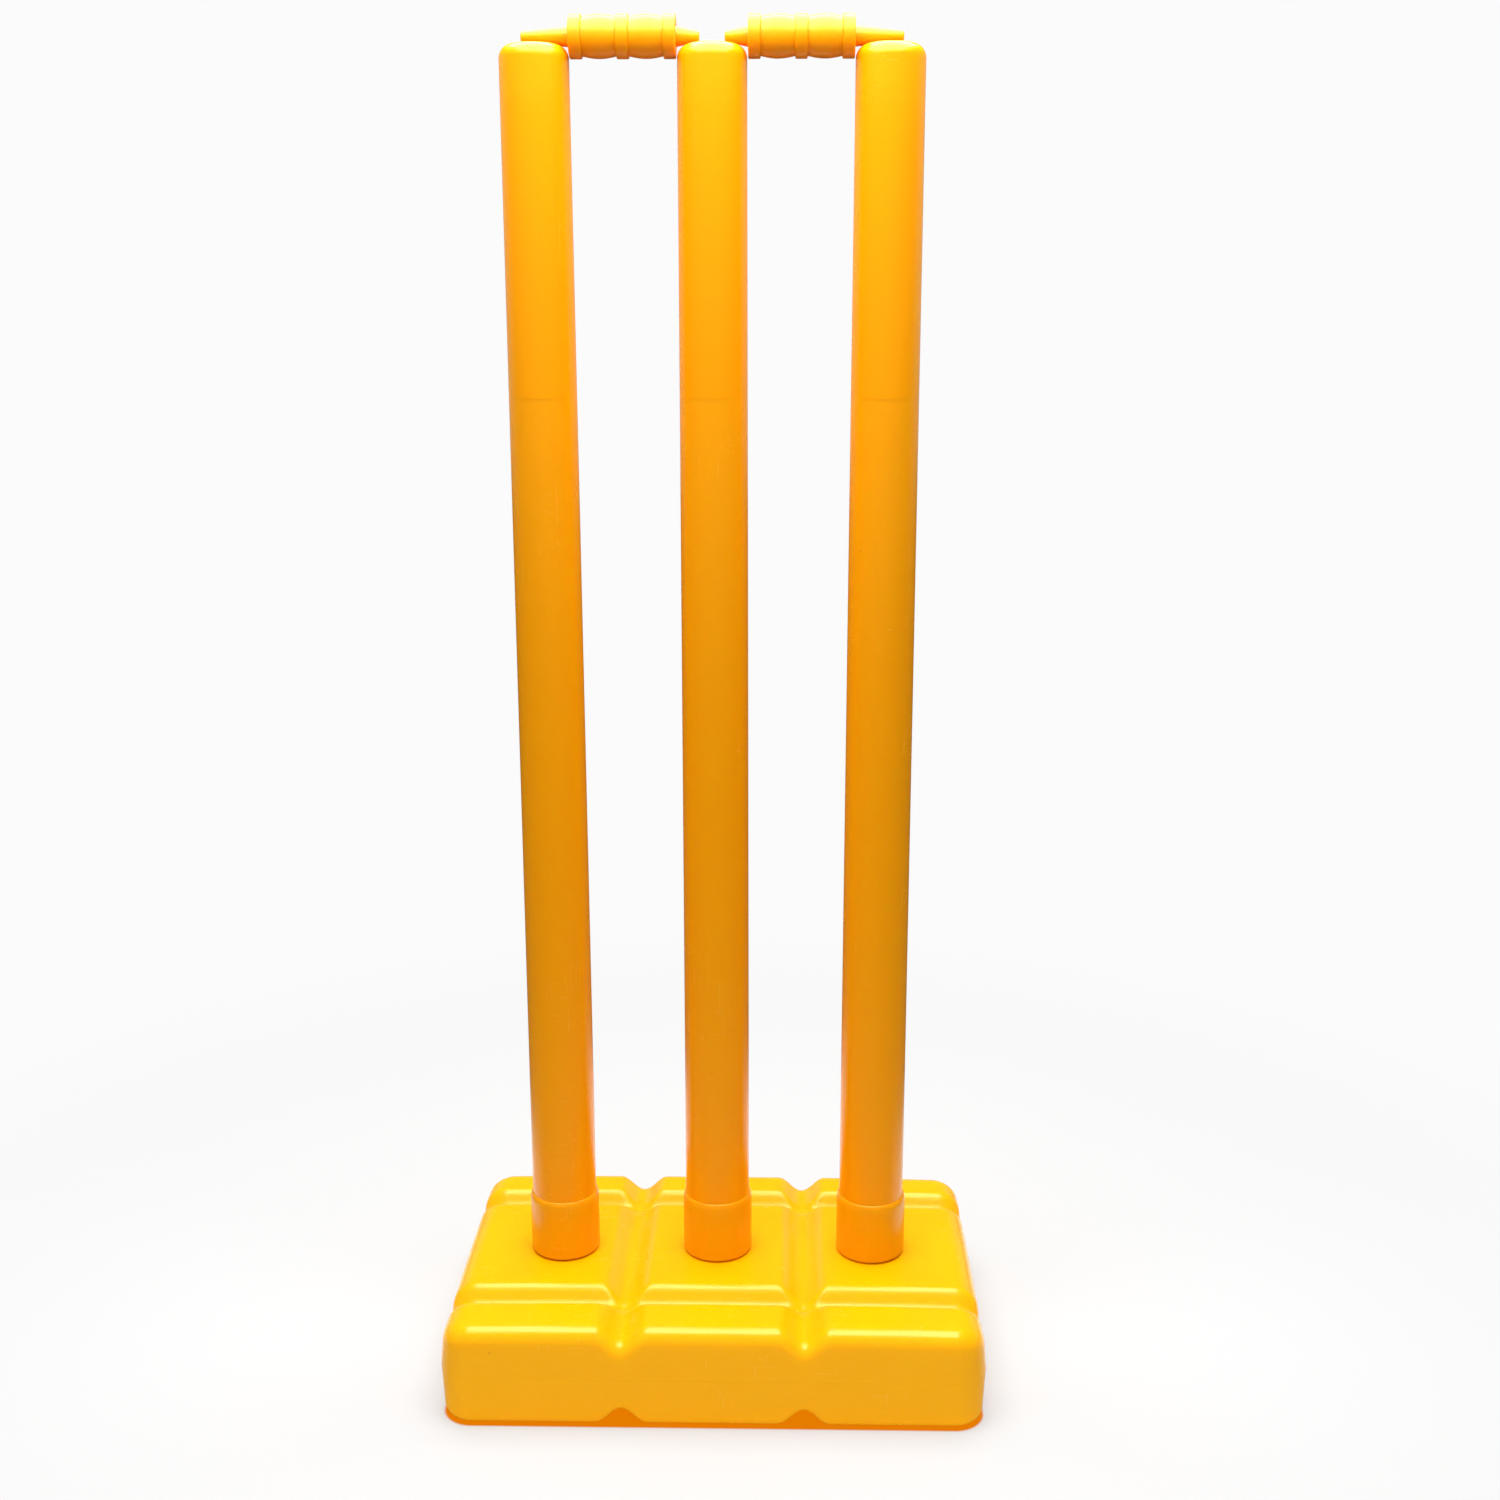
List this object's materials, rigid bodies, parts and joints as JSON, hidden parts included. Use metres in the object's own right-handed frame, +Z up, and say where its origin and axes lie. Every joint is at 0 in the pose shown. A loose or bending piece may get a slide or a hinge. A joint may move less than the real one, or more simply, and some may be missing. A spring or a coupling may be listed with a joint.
{
  "type": "cricket stumps",
  "caption": "Free-standing plastic cricket wicket: tapered hollow stumps plugged into a grooved hollow base, with ringed bails resting across the stump tops.",
  "frame": {"origin": "on the ground, under the middle of the base", "axes": "+Z up along the stumps, +X along the row of stumps towards the right one as seen from the front, -Y towards the front"},
  "size_m": [0.321, 0.205, 0.7874],
  "materials": {
    "base_plastic": "glossy blow-moulded polyethylene, golden yellow",
    "stump_plastic": "glossy blow-moulded polyethylene, golden yellow",
    "bail_plastic": "satin gloss injection-moulded plastic, golden yellow",
    "plug_plastic": "satin gloss injection-moulded plastic, golden yellow"
  },
  "bodies": {
    "base": {"base_shell": "base_plastic"},
    "plug": {"fill_plug": "plug_plastic"},
    "left_stump": {"stump_left": "stump_plastic"},
    "middle_stump": {"stump_middle": "stump_plastic"},
    "right_stump": {"stump_right": "stump_plastic"},
    "left_bail": {"bail_left": "bail_plastic"},
    "right_bail": {"bail_right": "bail_plastic"}
  },
  "joints": [
    {"name": "stump_middle_lift", "type": "slide", "parent": "base", "child": "middle_stump", "axis": [0, 0, 1], "range_m": [0, 0.052]},
    {"name": "stump_left_lift", "type": "slide", "parent": "base", "child": "left_stump", "axis": [0, 0, 1], "range_m": [0, 0.052]},
    {"name": "stump_right_lift", "type": "slide", "parent": "base", "child": "right_stump", "axis": [0, 0, 1], "range_m": [0, 0.052]},
    {"name": "bail_left_lift", "type": "slide", "parent": "middle_stump", "child": "left_bail", "axis": [0, 0, 1], "range_m": [0, 0.04]},
    {"name": "bail_right_lift", "type": "slide", "parent": "middle_stump", "child": "right_bail", "axis": [0, 0, 1], "range_m": [0, 0.04]},
    {"name": "fill_plug_pull", "type": "slide", "parent": "base", "child": "plug", "axis": [0, 1, 0], "range_m": [0, 0.018]}
  ],
  "couplings": [
    {"joint": "stump_left_lift", "follows": "stump_middle_lift", "ratio": 1},
    {"joint": "stump_right_lift", "follows": "stump_middle_lift", "ratio": 1}
  ]
}
